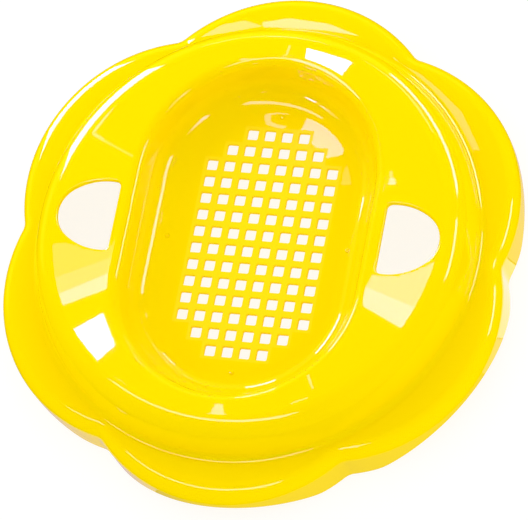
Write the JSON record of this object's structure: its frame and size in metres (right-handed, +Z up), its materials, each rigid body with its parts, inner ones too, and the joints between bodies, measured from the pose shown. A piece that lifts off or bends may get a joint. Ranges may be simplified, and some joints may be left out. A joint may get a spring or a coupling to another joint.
{
  "type": "sand sieve",
  "caption": "Flower-shaped toy sand sieve: a shallow round bowl with an oblong sieve basin, two hand openings and a petal-shaped flange with an arched skirt.",
  "frame": {"origin": "middle of the part in plan, on the ground that the skirt's feet stand on", "axes": "+Z up out of the bowl, X across the basin through the two hand openings, Y along the basin"},
  "size_m": [0.2294, 0.242, 0.0415],
  "materials": {
    "yellow_plastic": "glossy, slightly translucent injection-moulded polypropylene"
  },
  "bodies": {
    "root": {"sieve_plate": "yellow_plastic", "basin_wall": "yellow_plastic", "deck": "yellow_plastic", "rim_ring": "yellow_plastic", "petal_1": "yellow_plastic", "petal_2": "yellow_plastic", "petal_3": "yellow_plastic", "petal_4": "yellow_plastic", "petal_5": "yellow_plastic", "petal_6": "yellow_plastic", "skirt_1": "yellow_plastic", "skirt_2": "yellow_plastic", "skirt_3": "yellow_plastic", "skirt_4": "yellow_plastic", "skirt_5": "yellow_plastic", "skirt_6": "yellow_plastic", "notch_1": "yellow_plastic", "notch_2": "yellow_plastic", "notch_3": "yellow_plastic", "notch_4": "yellow_plastic", "notch_5": "yellow_plastic", "notch_6": "yellow_plastic"}
  },
  "joints": []
}
